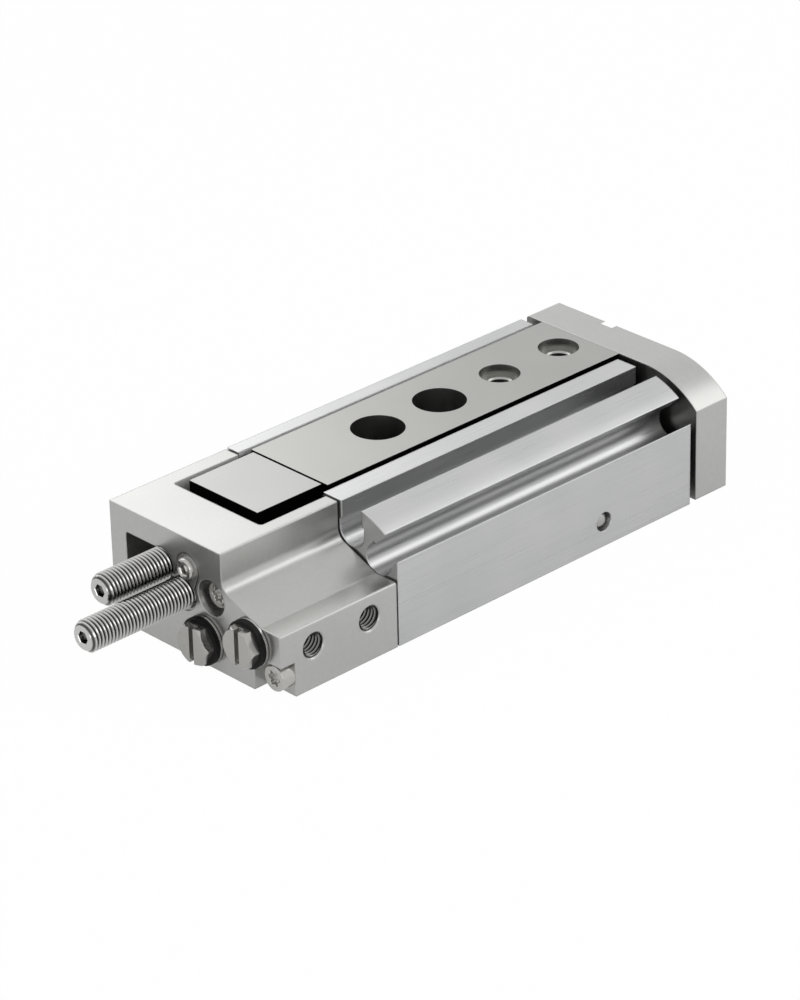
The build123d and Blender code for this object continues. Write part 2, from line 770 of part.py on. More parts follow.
def all_parts():
    """Every sub-part by its node name."""
    rear, magnet_rear, magnet_front, front = piston_stations()
    rear_seal_x, front_seal_x = piston_seal_places()
    stop_front_x = carrier_rear - buffer_proud - free
    parts = {
        "housing": housing(),
        "end_cap": end_cap(),
        "end_cap_gasket": end_cap_gasket(),
        "cap_screw_upper": cap_screw("upper"),
        "cap_screw_lower": cap_screw("lower"),
        "channel_balls": channel_balls(),
        "clamp_wedge": clamp_wedge(),
        "clamp_screw": clamp_screw(),
        "stop_block": stop_block(),
        "stop_block_screw": stop_block_screw(),
        "rod_bearing": rod_bearing(),
        "bearing_oring": bearing_oring(),
        "rod_seal": rod_seal(),
        "rod_wiper": rod_wiper(),
        "gland_ring": gland_ring(),
        "table": table(),
        "stop_carrier": stop_carrier(),
        "carrier_screws": carrier_screws(),
        "yoke_plate": yoke_plate(),
        "yoke_screws": yoke_screws(),
        "piston_rod": piston_rod(),
        "rod_screw": rod_screw(),
        "piston_rear": piston_part(rear, magnet_rear, rear_seal_x),
        "piston_front": piston_part(magnet_front, front, front_seal_x),
        "piston_seals": piston_seals(),
        "piston_magnet": piston_magnet(),
        "return_stop_screw": stop_screw(return_tip_x, stop_front_x, return_stop),
        "return_buffer": stop_buffer(stop_front_x, return_stop),
        "advance_stop_screw": stop_screw(advance_tip_x, advance_front_x - buffer_proud, advance_stop),
        "advance_buffer": stop_buffer(advance_front_x - buffer_proud, advance_stop),
    }
    for name, place in (("upper", plug_upper), ("lower", plug_lower)):
        parts["port_plug_" + name] = port_plug(place)
        parts["plug_washer_" + name] = plug_washer(place)
        parts["plug_seal_" + name] = plug_seal(place)
    for name, side in (("near", -1), ("far", 1)):
        parts["guide_rail_" + name] = guide_rail(side)
        parts["ball_cage_" + name] = ball_cage(side)
        parts["guide_balls_" + name] = guide_balls(side)
    return parts


os.makedirs("parts", exist_ok=True)
for node, shape in all_parts().items():
    export_step(shape, "parts/" + node + ".step")
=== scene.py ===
import json
from math import cos, pi, radians, sin, tau

import bmesh
import bpy
from mathutils import Matrix, Vector

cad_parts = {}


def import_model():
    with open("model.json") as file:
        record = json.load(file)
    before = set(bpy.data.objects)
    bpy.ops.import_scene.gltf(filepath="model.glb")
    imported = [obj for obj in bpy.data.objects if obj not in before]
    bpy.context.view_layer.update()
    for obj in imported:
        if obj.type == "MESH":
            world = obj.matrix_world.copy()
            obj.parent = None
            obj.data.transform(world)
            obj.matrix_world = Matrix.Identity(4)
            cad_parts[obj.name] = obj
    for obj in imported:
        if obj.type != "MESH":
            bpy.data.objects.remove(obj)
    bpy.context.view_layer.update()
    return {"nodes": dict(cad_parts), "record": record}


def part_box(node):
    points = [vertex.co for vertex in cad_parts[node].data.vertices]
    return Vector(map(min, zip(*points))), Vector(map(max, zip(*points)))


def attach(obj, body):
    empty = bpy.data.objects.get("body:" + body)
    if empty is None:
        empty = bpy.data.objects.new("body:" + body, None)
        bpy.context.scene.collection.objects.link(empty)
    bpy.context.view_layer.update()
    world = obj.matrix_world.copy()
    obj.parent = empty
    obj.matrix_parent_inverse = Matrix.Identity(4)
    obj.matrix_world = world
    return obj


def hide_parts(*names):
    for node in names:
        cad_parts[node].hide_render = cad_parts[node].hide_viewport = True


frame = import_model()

# Pneumatic slide table. Lengths are in millimetres where a value says mm, else in metres.
MM = 0.001

# Vertices closer than the first are merged, and a place closer to a face than the second lies on it
MERGE_MM = 0.002
SKIN_MM = 0.02

# The photograph's view, in degrees and millimetres
VIEW_AZIMUTH = -43.198
VIEW_ELEVATION = 27.424
VIEW_ROLL = -1.351
VIEW_DISTANCE_MM = 511.3
VIEW_POINT_MM = (16.8, -5.91, 7.5)
VIEW_RIGHT_MM = 13.804
VIEW_UP_MM = 5.048
VIEW_LENS_MM = 155.38
VIEW_SENSOR_MM = 36.0
VIEW_CLIP_M = (0.01, 20.0)

# Steps round a ring of a screw, and round one with lobes or many facets
RING_STEPS = 48
FINE_RING_STEPS = 72

# Thread of the stop screws and ports. Flank and flat crest are shares of the pitch, the lip is left free at
# each end, and the painted shade of the grooves gives way to the full tone at the crest within a range of the
# height.
FINE_PITCH_MM = 0.5
THREAD_STEPS = 36
THREAD_FLANK = 0.42
THREAD_FLAT = 0.06
THREAD_DEPTH_MM = 0.3
THREAD_CHAMFER_MM = 0.5
THREAD_LIP_MM = 0.02
THREAD_SHADE_RANGE = (0.1, 0.9)
THREAD_SMOOTH_DEGREES = 40

# Side ports, whose thread starts behind a chamfer
PORT_X_MM = (-28.2, -19.7)
PORT_Z_MM = 5.3
PORT_ROOT_MM = 1.5
PORT_CREST_MM = 1.24
PORT_MOUTH_MM = 0.2
PORT_END_MM = 3.1

# Port plugs: the crown chamfer is a stack of rings that open out from a circle to the hexagon
PLUG_STEM_MM = 1.48
PLUG_SLOT_MM = 0.72
PLUG_SLOT_DEEP_MM = 0.85
PLUG_CROWN_RINGS = 8
PLUG_CROWN_STEP_MM = 0.05
PLUG_CROWN_OVER_FLAT_MM = 0.04
PLUG_SMOOTH_DEGREES = 20

# Hexagon socket of the stop screws: a lead-in, straight sides and a drilled cone, with painted shade deep in
# it
STOP_SOCKET_MM = 1.4
STOP_SOCKET_DEEP_MM = 1.6
STOP_SOCKET_LEAD_MM = 0.08
STOP_SOCKET_CONE_MM = 0.4
STOP_SOCKET_SHADE = 0.45

# Clamp screw: depth from the rear and share of the radius, from the head's rim to the edge of the socket
CLAMP_HEAD = ((0.42, 1.0), (0.2, 0.97), (0.06, 0.89), (0, 0.78), (0.05, 0.68))
CLAMP_SOCKET_MM = 1.3
CLAMP_SOCKET_LEAD_MM = 0.12
CLAMP_SOCKET_DEPTHS_MM = (0.16, 0.22, 0.75, 0.95)

# Cap screws: head with an edge rounded over one step between, and a six-lobe socket
CAP_HEAD_MM = 1.8
CAP_HEAD_EDGE_MM = 0.15
CAP_HEAD_ROUNDING = 0.3
LOBE_OUTER_MM = 0.95
LOBE_INNER_MM = 0.68
LOBE_DEEP_MM = 0.45
LOBE_LEAD_MM = 0.06
LOBE_CONE_MM = 0.12

# Shanks of the clamp screw and cap screws, and the small ring that closes an end
SHANK_MM = 1.0
SHANK_CHAMFER_MM = 0.15
CENTRE_MM = 0.1

# Width over which an edge looks broken, on extruded or milled parts, plated parts and sharp ones
EDGE_MM = 0.25
PLATED_EDGE_MM = 0.08
FINE_EDGE_MM = 0.03
EDGE_SAMPLES = 6

# Noise of the finishes: its own roughness, the ranges of it that take a finish's roughness and tone from one
# end to the other, and the size of the slow drift in a metal's tone
NOISE_ROUGHNESS = 0.55
NOISE_RANGE = (0.3, 0.7)
TONE_RANGE = (0.38, 0.62)
DRIFT_MM = 9

# Skin of the moulded materials
MOULDED_BUMP_MM = 0.004
MOULDED_SPECULAR = 0.2

# Tones of painted shade, as a share of the finish's own tone: black on sides that lie in joints and gaps,
# partly as scale, and grey on the yoke's rear face
SCALE_AND_SHADE_DARKNESS = 0.06
YOKE_REAR_SHADE = 0.4

# The row of holes in the table: half its width, and where it begins
HOLE_ROW_MM = 3.4
HOLE_ROW_START_MM = -5

# Far walls of the channel and the cap's pocket
CHANNEL_WALL_MM = 7.19
POCKET_WALL_MM = 6.95

# Floor: half its width, and how far it is plain white for the camera and in the metal.
# The rest of it is lit and keeps the shadow.
FLOOR_HALF_M = 2.5
FLOOR_WHITE = 0.98
FLOOR_WHITE_MIRRORED = 0.5

# Light from the surround at the horizon and overhead
HORIZON_LIGHT = 0.62
OVERHEAD_LIGHT = 0.64
OVERHEAD_FROM = 0.9

# Watts per square metre at which a lamp looks as bright as a surface of strength 1
LAMP_POWER = 4

# The key is a stack of panels whose right edges step back, so that its sheen fades towards the yoke
KEY_START_MM = -100
KEY_EDGES_MM = (108, 120, 133, 146, 160, 176)
KEY_BRIGHTNESS = 0.165
KEY_BEHIND_MM = 175
KEY_HEIGHT_MM = 130
KEY_TALL_MM = 170
KEY_AIM_HEIGHT_MM = 10

# The other panels: name, place, size, brightness, aim, and the rays that don't see the panel.
# Hidden from diffuse rays, a panel only shines in the metal; from glossy rays, it only lights matt skins.
PANELS = (
    ("side", (340, -235, 335), (260, 300), 0.9, (0, -12, 10), "visible_diffuse"),
    ("left", (-480, -230, 60), (320, 220), 1.2, (-36, -8, 6), "visible_diffuse"),
    ("fill", (240, -420, 250), (350, 350), 3.0, (0, 0, 0), "visible_glossy"),
    ("back_fill", (-420, 240, 250), (350, 350), 1.4, (0, 0, 0), "visible_glossy"),
)


def new_piece(name, bm, body, material, replaced=(), lining=False):
    """Makes a mesh object of the shape and gives it its body, slot and finish, and hides the CAD nodes it
    stands for.
    A lining is an open sleeve that is seen from within."""
    bmesh.ops.remove_doubles(bm, verts=bm.verts, dist=MERGE_MM * MM)
    bmesh.ops.recalc_face_normals(bm, faces=bm.faces)
    if lining:
        bmesh.ops.reverse_faces(bm, faces=bm.faces)
    mesh = bpy.data.meshes.new(name)
    bm.to_mesh(mesh)
    bm.free()
    piece = bpy.data.objects.new(name, mesh)
    bpy.context.scene.collection.objects.link(piece)
    mesh.materials.append(material)
    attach(piece, body)
    if replaced:
        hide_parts(*replaced)
    return piece


def smooth_by_angle(piece, degrees=32):
    """Shades a piece smooth, apart from edges sharper than the angle."""
    mesh = piece.data
    mesh.shade_smooth()
    bm = bmesh.new()
    bm.from_mesh(mesh)
    for edge in bm.edges:
        edge.smooth = len(edge.link_faces) == 2 and edge.calc_face_angle(0) < radians(degrees)
    bm.to_mesh(mesh)
    bm.free()


def axis_of(node):
    """Rear x, front x, centre y, centre z and radius of a round node that lies along X."""
    low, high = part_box(node)
    return low.x, high.x, (low.y + high.y) / 2, (low.z + high.z) / 2, (high.z - low.z) / 2


def shape_ring(verts, x, y, z, outline):
    """Moves a ring square to X so that its radius at each angle is outline(angle)."""
    for vert in verts:
        angle = Vector((vert.co.y - y, vert.co.z - z)).angle_signed(Vector((1, 0)))
        radius = outline(angle)
        vert.co = Vector((x, y + radius * cos(angle), z + radius * sin(angle)))


def round_outline(radius):
    """Circle of the given radius."""
    return lambda angle: radius


def centre():
    """The small circle that closes an end."""
    return round_outline(CENTRE_MM * MM)


def hexagon_outline(across):
    """Hexagon with two corners level with its centre."""
    return lambda angle: across / 2 / cos((angle % (pi / 3)) - pi / 6)


def six_lobe_outline(outer, inner):
    """Six round lobes, as a screw's star socket has."""
    return lambda angle: (outer + inner) / 2 + (outer - inner) / 2 * cos(6 * angle)


def stack_of_rings(bm, y, z, rings, steps=RING_STEPS):
    """Extrudes a ring from station to station along X and closes the last one. Returns each ring's edges."""
    x, outline = rings[0]
    upright = Matrix.Translation((x, y, z)) @ Matrix.Rotation(pi / 2, 4, "Y")
    verts = bmesh.ops.create_circle(bm, segments=steps, radius=MM, matrix=upright)["verts"]
    shape_ring(verts, x, y, z, outline)
    loops = [list({edge for vert in verts for edge in vert.link_edges})]
    for x, outline in rings[1:]:
        made = bmesh.ops.extrude_edge_only(bm, edges=loops[-1])["geom"]
        verts = [part for part in made if isinstance(part, bmesh.types.BMVert)]
        edges = [part for part in made if isinstance(part, bmesh.types.BMEdge)]
        shape_ring(verts, x, y, z, outline)
        loops.append([edge for edge in edges if edge.verts[0] in verts and edge.verts[1] in verts])
    bmesh.ops.edgeloop_fill(bm, edges=loops[-1])
    return loops


def helix(bm, x0, x1, y, z, root, crest, pitch):
    """Thread from x0 to x1 round an axis along X, from its root radius to its crest radius."""
    flank = THREAD_FLANK * pitch
    flat = THREAD_FLAT * pitch
    profile = [(0, root), (flank, crest), (flank + flat, crest), (2 * flank + flat, root), (pitch, root)]
    start = x0 - pitch
    verts = [bm.verts.new((start + dx, y + radius, z)) for dx, radius in profile]
    edges = [bm.edges.new(pair) for pair in zip(verts, verts[1:])]
    bmesh.ops.spin(bm, geom=verts + edges, cent=(0, y, z), axis=(1, 0, 0), angle=tau, steps=THREAD_STEPS,
                   dvec=(pitch / THREAD_STEPS, 0, 0))
    turn = bm.verts[:] + bm.edges[:] + bm.faces[:]
    for number in range(1, int((x1 - start) / pitch) + 1):
        made = bmesh.ops.duplicate(bm, geom=turn)["geom"]
        moved = [v for v in made if isinstance(v, bmesh.types.BMVert)]
        bmesh.ops.translate(bm, verts=moved, vec=(number * pitch, 0, 0))
    bmesh.ops.remove_doubles(bm, verts=bm.verts, dist=pitch / 50)
    for x, side in ((x0, -1), (x1, 1)):
        geom = bm.verts[:] + bm.edges[:] + bm.faces[:]
        bmesh.ops.bisect_plane(bm, geom=geom, plane_co=(x, 0, 0), plane_no=(side, 0, 0), clear_outer=True)
    # Painted shade in the grooves: the tone share in U runs from the root to the crest
    set_painted_shade(bm, bm.faces, lambda place: (Vector((place.y - y, place.z - z)).length - root) / (crest - root))


def set_painted_shade(bm, faces, tone):
    """Writes each place's share of the tone, which paints shade into grooves and sockets, into U of the UV
    map.
    """
    layer = bm.loops.layers.uv.verify()
    for face in faces:
        for corner in face.loops:
            corner[layer].uv = (tone(corner.vert.co), 0)


def cut(bm, cutter):
    """Takes the cutter's shape out of a closed shape and gives the rest as a new bmesh."""
    pair = []
    for shape in (bm, cutter):
        bmesh.ops.recalc_face_normals(shape, faces=shape.faces)
        mesh = bpy.data.meshes.new("shape")
        shape.to_mesh(mesh)
        shape.free()
        pair.append(bpy.data.objects.new("shape", mesh))
        bpy.context.scene.collection.objects.link(pair[-1])
    modifier = pair[0].modifiers.new("cut", "BOOLEAN")
    modifier.object = pair[1]
    modifier.solver = "EXACT"
    graph = bpy.context.evaluated_depsgraph_get()
    left = bpy.data.meshes.new_from_object(pair[0].evaluated_get(graph))
    result = bmesh.new()
    result.from_mesh(left)
    for shape in pair:
        bpy.data.objects.remove(shape)
    return result


def stop_screw(node, body, material):
    """Stop screw: fine thread, chamfered ends, hexagon socket in the rear end."""
    rear, front, y, z, radius = axis_of(node)
    bm = bmesh.new()
    root = radius - THREAD_DEPTH_MM * MM
    chamfer = THREAD_CHAMFER_MM * MM
    lip = THREAD_LIP_MM * MM
    helix(bm, rear + lip, front - lip, y, z, root, radius, FINE_PITCH_MM * MM)
    for vert in bm.verts:
        from_end = min(vert.co.x - rear, front - vert.co.x)
        limit = radius - chamfer + from_end
        across = Vector((0, vert.co.y - y, vert.co.z - z))
        if across.length > limit:
            vert.co -= across * (1 - limit / across.length)
    thread = bm.faces[:]
    rims = [edge for edge in bm.edges if edge.is_boundary]
    end = radius - chamfer
    socket = hexagon_outline(STOP_SOCKET_MM * MM)
    deep = STOP_SOCKET_DEEP_MM * MM
    rear_end = stack_of_rings(bm, y, z, [
        (rear, round_outline(end)),
        (rear, hexagon_outline((STOP_SOCKET_MM + 2 * STOP_SOCKET_LEAD_MM) * MM)),
        (rear + STOP_SOCKET_LEAD_MM * MM, socket),
        (rear + deep, socket),
        (rear + deep + STOP_SOCKET_CONE_MM * MM, centre()),
    ])
    front_end = stack_of_rings(bm, y, z, [(front, round_outline(end)), (front, centre())])
    middle = (rear + front) / 2
    for loops, sign in ((rear_end, 1), (front_end, -1)):
        rim = [edge for edge in rims if sign * (middle - edge.verts[0].co.x) > 0]
        bmesh.ops.bridge_loops(bm, edges=rim + loops[0])
    ends = set(bm.faces) - set(thread)
    # Painted shade deep in the socket; the rest of the ends keeps the full tone
    in_socket = (rear + 0.5 * deep, rear + 2 * deep)
    set_painted_shade(bm, ends, lambda place: STOP_SOCKET_SHADE if in_socket[0] < place.x < in_socket[1] else 1.0)
    piece = new_piece(node + "_threaded", bm, body, material, (node,))
    smooth_by_angle(piece, THREAD_SMOOTH_DEGREES)


def port_thread(name, x_mm, material):
    """Thread in a side port, from behind its chamfer to the start of the narrower drilling."""
    bm = bmesh.new()
    helix(bm, PORT_MOUTH_MM * MM, PORT_END_MM * MM, 0, 0, PORT_ROOT_MM * MM, PORT_CREST_MM * MM,
          FINE_PITCH_MM * MM)
    mouth = Vector((x_mm * MM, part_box("end_cap")[0].y, PORT_Z_MM * MM))
    inwards = Matrix.Translation(mouth) @ Matrix.Rotation(pi / 2, 4, "Z")
    bmesh.ops.transform(bm, matrix=inwards, verts=bm.verts)
    piece = new_piece(name, bm, "housing", material, lining=True)
    smooth_by_angle(piece, THREAD_SMOOTH_DEGREES)


def port_plug(node, material):
    """Port plug: hexagon head with a chamfered crown and a screwdriver slot, plain stem."""
    rear, front, y, z, flat = axis_of(node)
    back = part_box(node.replace("port_plug", "plug_seal"))[0].x
    hexagon = hexagon_outline(2 * flat)

    def crowned(depth):
        return lambda angle: min(hexagon(angle), flat + PLUG_CROWN_OVER_FLAT_MM * MM + depth)

    bm = bmesh.new()
    depths = [number * PLUG_CROWN_STEP_MM * MM for number in range(PLUG_CROWN_RINGS)]
    rings = [(rear + depth, crowned(depth)) for depth in depths]
    stem = round_outline(PLUG_STEM_MM * MM)
    rings += [(back, hexagon), (back, stem), (front, stem), (front, centre())]
    loops = stack_of_rings(bm, y, z, rings, FINE_RING_STEPS)
    bmesh.ops.edgeloop_fill(bm, edges=loops[0])
    cutter = bmesh.new()
    size = (2 * PLUG_SLOT_DEEP_MM * MM, PLUG_SLOT_MM * MM, 4 * flat)
    slot = Matrix.Translation((rear, y, z)) @ Matrix.Diagonal((*size, 1))
    bmesh.ops.create_cube(cutter, size=1.0, matrix=slot)
    piece = new_piece(node + "_head", cut(bm, cutter), "housing", material, (node,))
    smooth_by_angle(piece, PLUG_SMOOTH_DEGREES)


def shank_rings(front, seat):
    """Rings of a plain shank from its closed, chamfered tip to the seat of the head."""
    shank = SHANK_MM * MM
    chamfer = SHANK_CHAMFER_MM * MM
    return [
        (front, centre()),
        (front, round_outline(shank - chamfer)),
        (front - chamfer, round_outline(shank)),
        (seat, round_outline(shank)),
    ]


def clamp_screw(material):
    """Screw of the clamp piece: low domed head with a raised rim and a hexagon socket."""
    rear, front, y, z, radius = axis_of("clamp_screw")
    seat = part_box("end_cap")[0].x
    socket = hexagon_outline(CLAMP_SOCKET_MM * MM)
    wide = hexagon_outline((CLAMP_SOCKET_MM + CLAMP_SOCKET_LEAD_MM) * MM)
    rings = shank_rings(front, seat) + [(seat, round_outline(radius))]
    rings += [(rear + depth * MM, round_outline(radius * share)) for depth, share in CLAMP_HEAD]
    outlines = (wide, socket, socket, centre())
    rings += [(rear + depth * MM, outline) for depth, outline in zip(CLAMP_SOCKET_DEPTHS_MM, outlines)]
    bm = bmesh.new()
    loops = stack_of_rings(bm, y, z, rings)
    bmesh.ops.edgeloop_fill(bm, edges=loops[0])
    piece = new_piece("clamp_screw_head", bm, "housing", material, ("clamp_screw",))
    smooth_by_angle(piece)


def cap_screw(node, material):
    """Cap screw: round head with a broken edge and a six-lobe socket, plain shank."""
    rear, front, y, z, radius = axis_of(node)
    edge = CAP_HEAD_EDGE_MM * MM
    seat = rear + CAP_HEAD_MM * MM
    socket = six_lobe_outline(LOBE_OUTER_MM * MM, LOBE_INNER_MM * MM)
    wide = six_lobe_outline((LOBE_OUTER_MM + LOBE_LEAD_MM) * MM, (LOBE_INNER_MM + LOBE_LEAD_MM) * MM)
    bm = bmesh.new()
    loops = stack_of_rings(bm, y, z, shank_rings(front, seat) + [
        (seat, round_outline(radius)),
        (rear + edge, round_outline(radius)),
        (rear + edge * CAP_HEAD_ROUNDING, round_outline(radius - edge * CAP_HEAD_ROUNDING)),
        (rear, round_outline(radius - edge)),
        (rear, wide),
        (rear + LOBE_LEAD_MM * MM, socket),
        (rear + LOBE_DEEP_MM * MM, socket),
        (rear + (LOBE_DEEP_MM + LOBE_CONE_MM) * MM, centre()),
    ], FINE_RING_STEPS)
    bmesh.ops.edgeloop_fill(bm, edges=loops[0])
    piece = new_piece(node + "_head", bm, "housing", material, (node,))
    smooth_by_angle(piece)


def colour(hexcode):
    """sRGB hex to linear RGBA."""
    parts = [int(hexcode[i:i + 2], 16) / 255 for i in (1, 3, 5)]
    return tuple(c / 12.92 if c <= 0.04045 else ((c + 0.055) / 1.055) ** 2.4 for c in parts) + (1.0,)


def add(tree, kind, inputs=None, **settings):
    """Adds a node. Inputs are values, or sockets to link from; settings are the node's own."""
    node = tree.nodes.new(kind)
    for key, value in settings.items():
        setattr(node, key, value)
    for key, value in (inputs or {}).items():
        if isinstance(value, bpy.types.NodeSocket):
            tree.links.new(value, node.inputs[key])
        else:
            node.inputs[key].default_value = value
    return node


def surface(name):
    """A new material with its node tree, shader, and object coordinates."""
    material = bpy.data.materials.new(name)
    material.use_nodes = True
    tree = material.node_tree
    tree.nodes.clear()
    shader = add(tree, "ShaderNodeBsdfPrincipled")
    add(tree, "ShaderNodeOutputMaterial", {"Surface": shader.outputs["BSDF"]})
    place = add(tree, "ShaderNodeTexCoord").outputs["Object"]
    return material, tree, shader, place


def grain(tree, place, size_mm, detail):
    """Noise whose features have the given length along X, Y and Z."""
    scale = [1 / (s * MM) for s in size_mm]
    mapping = add(tree, "ShaderNodeMapping", {"Vector": place, "Scale": scale})
    inputs = {"Vector": mapping.outputs["Vector"], "Scale": 1.0}
    inputs.update({"Detail": detail, "Roughness": NOISE_ROUGHNESS})
    return add(tree, "ShaderNodeTexNoise", inputs).outputs["Fac"]


def ranged(tree, value, source, target, **settings):
    """Remaps a value from one range to another, and clamps it."""
    inputs = {"Value": value}
    inputs["From Min"], inputs["From Max"] = source
    inputs["To Min"], inputs["To Max"] = target
    return add(tree, "ShaderNodeMapRange", inputs, clamp=True, **settings).outputs["Result"]


def maths(tree, operation, first, second):
    """Sum, product or comparison of two sockets or values."""
    return add(tree, "ShaderNodeMath", {0: first, 1: second}, operation=operation).outputs[0]


def axes(tree, place):
    """The X, Y and Z of a place."""
    return add(tree, "ShaderNodeSeparateXYZ", {0: place}).outputs


def ground_faces_and_shade(node):
    """Full tone on the ground top, far side and bores; black elsewhere, as scale and as painted shade on the
    sides in the gaps.
    """
    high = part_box(node)[1]

    def shade(tree, place):
        x, y, z = axes(tree, place)
        on_top = maths(tree, "GREATER_THAN", z, high.z - SKIN_MM * MM)
        on_far_side = maths(tree, "GREATER_THAN", y, high.y - SKIN_MM * MM)
        in_row = maths(tree, "LESS_THAN", maths(tree, "ABSOLUTE", y, 0), HOLE_ROW_MM * MM)
        past_start = maths(tree, "GREATER_THAN", x, HOLE_ROW_START_MM * MM)
        in_bore = maths(tree, "MULTIPLY", in_row, past_start)
        bright = maths(tree, "MAXIMUM", in_bore, maths(tree, "MAXIMUM", on_top, on_far_side))
        return maths(tree, "MAXIMUM", bright, SCALE_AND_SHADE_DARKNESS)

    return shade


def by_depth(node, on_face, behind):
    """One tone on the rear face and another on all that lies ahead of it, to paint shade on what lies in a
    joint.
    """
    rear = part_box(node)[0].x
    step = (rear + 0.5 * SKIN_MM * MM, rear + 1.5 * SKIN_MM * MM)
    return lambda tree, place: ranged(tree, axes(tree, place)["X"], step, (on_face, behind))


def matt_wall(node, y_mm, oxide):
    """The oxide share of a part whose wall at this y keeps a matt, pale skin up to its top edge."""
    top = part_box(node)[1].z

    def skin(tree, place):
        along = axes(tree, place)
        from_wall = maths(tree, "ABSOLUTE", maths(tree, "SUBTRACT", along["Y"], y_mm * MM), 0)
        at_wall = maths(tree, "LESS_THAN", from_wall, SKIN_MM * MM)
        below = maths(tree, "LESS_THAN", along["Z"], top - SKIN_MM * MM)
        return maths(tree, "MAXIMUM", maths(tree, "MULTIPLY", at_wall, below), oxide)

    return skin


def painted_groove_shade(groove, crest):
    """Painted shade in a thread's grooves: the tone runs smoothly from groove to crest along U of its UV map.
    """

    def shade(tree, place):
        height = axes(tree, add(tree, "ShaderNodeTexCoord").outputs["UV"])["X"]
        return ranged(tree, height, THREAD_SHADE_RANGE, (groove, crest), interpolation_type="SMOOTHSTEP")

    return shade


def metal(name, dark, light, rough, marks_mm, bump_mm, oxide=0.0, shade=None, edge_mm=EDGE_MM):
    """A metal finish: tone drifts between two colours, roughness and bump follow the tool marks.
    Oxide is the matt share of a plated or anodised skin, or a function that gives it at each place.
    Shade gives a share of the tone at each place, which paints shade into the colour. Edges look broken over
    edge_mm and catch the light."""
    material, tree, shader, place = surface(name)
    marks = grain(tree, place, marks_mm, 3.0)
    drift = grain(tree, place, (DRIFT_MM,) * 3, 1.0)
    mean = maths(tree, "MULTIPLY", maths(tree, "ADD", marks, drift), 0.5)
    ramp = add(tree, "ShaderNodeValToRGB", {"Fac": mean})
    for stop, position, hexcode in zip(ramp.color_ramp.elements, TONE_RANGE, (dark, light)):
        stop.position = position
        stop.color = colour(hexcode)
    tone = ramp.outputs["Color"]
    if shade:
        scaled = {0: tone, "Scale": shade(tree, place)}
        tone = add(tree, "ShaderNodeVectorMath", scaled, operation="SCALE").outputs[0]
    tree.links.new(tone, shader.inputs["Base Color"])
    tree.links.new(ranged(tree, marks, NOISE_RANGE, rough), shader.inputs["Roughness"])
    broken = add(tree, "ShaderNodeBevel", {"Radius": edge_mm * MM}, samples=EDGE_SAMPLES)
    bump = add(tree, "ShaderNodeBump", {"Height": marks, "Strength": 1.0, "Distance": bump_mm * MM,
                                        "Normal": broken.outputs["Normal"]})
    tree.links.new(bump.outputs["Normal"], shader.inputs["Normal"])
    if callable(oxide):
        tree.links.new(maths(tree, "SUBTRACT", 1.0, oxide(tree, place)), shader.inputs["Metallic"])
    else:
        shader.inputs["Metallic"].default_value = 1.0 - oxide
    return material


# Milled aluminium, clear anodised: pale satin whose oxide skin evens out the reflections
cap_finish = metal("milled anodised aluminium", "#B2B2B0", "#B7B7B5", rough=(0.28, 0.32),
                   marks_mm=(0.5, 0.5, 0.5), bump_mm=0.0003, oxide=matt_wall("end_cap", POCKET_WALL_MM, 0.08))
# Extruded aluminium, brushed lengthwise and anodised: satin with long faint streaks, pale in the far gap
housing_finish = metal("brushed extruded aluminium", "#BABBBB", "#C2C2C2", rough=(0.27, 0.32),
                       marks_mm=(14, 0.25, 0.25), bump_mm=0.0006,
                       oxide=matt_wall("housing", CHANNEL_WALL_MM, 0.06))
# Machined aluminium plate, anodised: satin, a little darker than the housing, with painted shade on its rear
# face in the joint
yoke_finish = metal("machined aluminium plate", "#B2B2B0", "#B7B7B5", rough=(0.28, 0.32),
                    marks_mm=(0.6, 0.6, 0.6), bump_mm=0.0003, oxide=0.05,
                    shade=by_depth("yoke_plate", YOKE_REAR_SHADE, 1.0))
# Hardened tool steel: top, far side and bores ground to a clean satin; the rest black, as scale and as
# painted shade in the gaps beside it
table_finish = metal("ground tool steel", "#A2A29F", "#A6A6A3", rough=(0.28, 0.32),
                     marks_mm=(8, 0.15, 0.15), bump_mm=0.0003, shade=ground_faces_and_shade("table"),
                     edge_mm=FINE_EDGE_MM)
# Plain steel plate, ground like the table: a clean satin top over black sides, as scale and as painted shade
# in the pocket round it
carrier_finish = metal("ground steel plate", "#A1A19F", "#A5A5A3", rough=(0.28, 0.32),
                       marks_mm=(6, 0.15, 0.15), bump_mm=0.0003, shade=ground_faces_and_shade("stop_carrier"),
                       edge_mm=FINE_EDGE_MM)
# Aluminium clamp piece, milled like the cap: painted shade blackens its sides, so that the joint round it
# shows as a dark line
clamp_finish = metal("milled clamp aluminium", "#B2B2B0", "#B7B7B5", rough=(0.28, 0.32),
                     marks_mm=(0.5, 0.5, 0.5), bump_mm=0.0003, oxide=0.08,
                     shade=by_depth("clamp_wedge", 1.0, SCALE_AND_SHADE_DARKNESS), edge_mm=FINE_EDGE_MM)
# Stainless steel, thread cut on a lathe: painted shade darkens the grooves, and every crest takes a sharp
# highlight
stop_finish = metal("cut stainless steel", "#C0C0BE", "#C6C6C4", rough=(0.12, 0.16), marks_mm=(0.5, 0.5, 0.5),
                    bump_mm=0.0002, shade=painted_groove_shade(0.12, 1.0), edge_mm=FINE_EDGE_MM)
# Thread cut in the anodised cap: painted shade, black in its grooves and half tone on its crests
port_finish = metal("cut aluminium thread", "#B4B4B2", "#BABAB8", rough=(0.2, 0.25), marks_mm=(0.5, 0.5, 0.5),
                    bump_mm=0.0002, shade=painted_groove_shade(0.01, 0.5), edge_mm=FINE_EDGE_MM)
